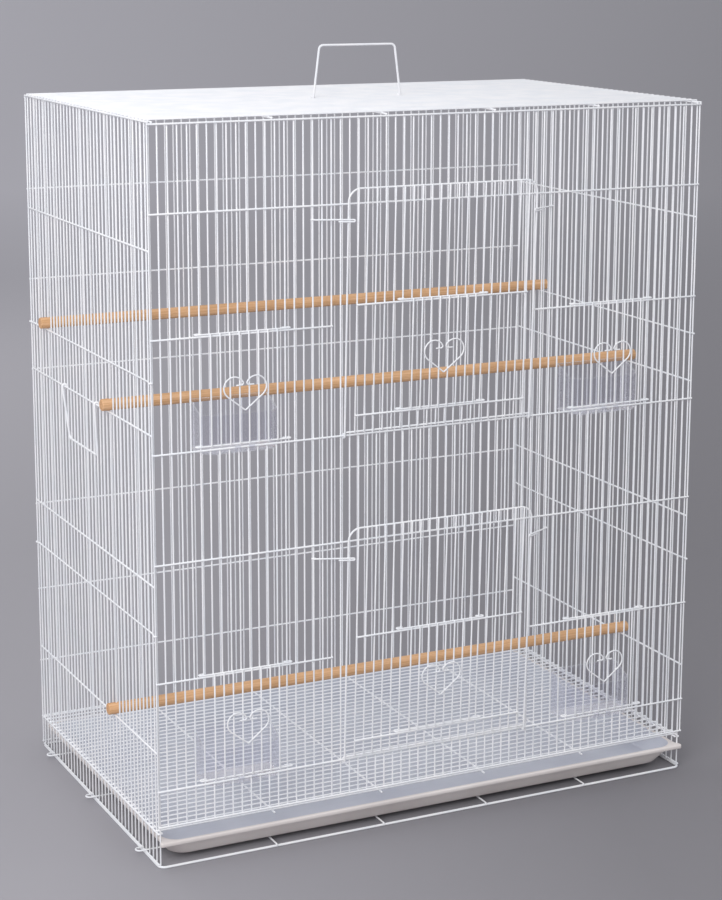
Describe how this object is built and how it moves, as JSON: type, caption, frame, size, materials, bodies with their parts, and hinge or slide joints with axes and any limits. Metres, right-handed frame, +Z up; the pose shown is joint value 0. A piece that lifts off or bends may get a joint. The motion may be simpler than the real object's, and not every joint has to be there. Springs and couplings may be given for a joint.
{
  "type": "bird breeding cage",
  "caption": "Tall two-storey breeding cage of white welded wire with hinged doors, sliding hatches and feeder doors, clear cups, perches and a pull-out tray.",
  "frame": {"origin": "on the surface the cage stands on, under the middle of its plan", "axes": "+X to the right seen from the front, +Y to the back, +Z up; the doors are on the -Y side"},
  "size_m": [0.7858, 0.4844, 0.9827],
  "materials": {
    "coated_wire": "white powder coat, semi-gloss",
    "perch_wood": "raw turned dowel",
    "tray_plastic": "warm white moulded plastic",
    "clear_plastic": "clear moulded plastic"
  },
  "bodies": {
    "cage": {"base_frame": "coated_wire", "floor_grille": "coated_wire", "left_panel": "coated_wire", "right_panel": "coated_wire", "back_panel": "coated_wire", "front_panel": "coated_wire", "top_panel": "coated_wire", "perch_lower": "perch_wood", "perch_middle": "perch_wood", "perch_upper": "perch_wood", "lower_left_cup": "clear_plastic", "lower_right_cup": "clear_plastic", "upper_left_cup": "clear_plastic", "upper_right_cup": "clear_plastic"},
    "tray": {"tray": "tray_plastic"},
    "lower_door": {"lower_door": "coated_wire"},
    "upper_door": {"upper_door": "coated_wire"},
    "lower_hatch": {"lower_hatch": "coated_wire", "lower_hatch_heart": "coated_wire"},
    "upper_hatch": {"upper_hatch": "coated_wire", "upper_hatch_heart": "coated_wire"},
    "lower_left_feeder_door": {"lower_left_feeder_door": "coated_wire", "lower_left_heart": "coated_wire"},
    "lower_right_feeder_door": {"lower_right_feeder_door": "coated_wire", "lower_right_heart": "coated_wire"},
    "upper_left_feeder_door": {"upper_left_feeder_door": "coated_wire", "upper_left_heart": "coated_wire"},
    "upper_right_feeder_door": {"upper_right_feeder_door": "coated_wire", "upper_right_heart": "coated_wire"},
    "lower_left_latch": {"lower_left_latch": "coated_wire"},
    "lower_right_latch": {"lower_right_latch": "coated_wire"},
    "upper_left_latch": {"upper_left_latch": "coated_wire"},
    "upper_right_latch": {"upper_right_latch": "coated_wire"},
    "top_handle": {"top_handle": "coated_wire"},
    "side_handle": {"side_handle": "coated_wire"}
  },
  "joints": [
    {"name": "tray_slide", "type": "slide", "parent": "cage", "child": "tray", "axis": [0, -1, 0], "range_m": [0, 0.44]},
    {"name": "lower_door_hinge", "type": "hinge", "parent": "cage", "child": "lower_door", "pos_m": [0, -0.2318, 0.1], "axis": [1, 0, 0], "range_deg": [0, 95]},
    {"name": "lower_hatch_slide", "type": "slide", "parent": "lower_door", "child": "lower_hatch", "axis": [0, -0.0384, 0.9993], "range_m": [0, 0.132]},
    {"name": "upper_door_hinge", "type": "hinge", "parent": "cage", "child": "upper_door", "pos_m": [0, -0.2318, 0.52], "axis": [1, 0, 0], "range_deg": [0, 120]},
    {"name": "upper_hatch_slide", "type": "slide", "parent": "upper_door", "child": "upper_hatch", "axis": [0, -0.0384, 0.9993], "range_m": [0, 0.132]},
    {"name": "lower_left_feeder_slide", "type": "slide", "parent": "cage", "child": "lower_left_feeder_door", "axis": [0, 0, 1], "range_m": [0, 0.13]},
    {"name": "lower_right_feeder_slide", "type": "slide", "parent": "cage", "child": "lower_right_feeder_door", "axis": [0, 0, 1], "range_m": [0, 0.13]},
    {"name": "upper_left_feeder_slide", "type": "slide", "parent": "cage", "child": "upper_left_feeder_door", "axis": [0, 0, 1], "range_m": [0, 0.13]},
    {"name": "upper_right_feeder_slide", "type": "slide", "parent": "cage", "child": "upper_right_feeder_door", "axis": [0, 0, 1], "range_m": [0, 0.13]},
    {"name": "lower_left_latch_hinge", "type": "hinge", "parent": "cage", "child": "lower_left_latch", "pos_m": [-0.17161, -0.22956, 0.368], "axis": [0, 0, -1], "range_deg": [0, 100]},
    {"name": "lower_right_latch_hinge", "type": "hinge", "parent": "cage", "child": "lower_right_latch", "pos_m": [0.15935, -0.22956, 0.368], "axis": [0, 0, 1], "range_deg": [0, 100]},
    {"name": "upper_left_latch_hinge", "type": "hinge", "parent": "cage", "child": "upper_left_latch", "pos_m": [-0.17161, -0.22956, 0.788], "axis": [0, 0, -1], "range_deg": [0, 100]},
    {"name": "upper_right_latch_hinge", "type": "hinge", "parent": "cage", "child": "upper_right_latch", "pos_m": [0.15935, -0.22956, 0.788], "axis": [0, 0, 1], "range_deg": [0, 100]},
    {"name": "top_handle_hinge", "type": "hinge", "parent": "cage", "child": "top_handle", "pos_m": [0, 0.00631, 0.9134], "axis": [1, 0, 0], "range_deg": [-75, 60]},
    {"name": "side_handle_hinge", "type": "hinge", "parent": "cage", "child": "side_handle", "pos_m": [-0.3798, 0.03157, 0.543], "axis": [0, 1, 0], "range_deg": [0, 100]}
  ]
}
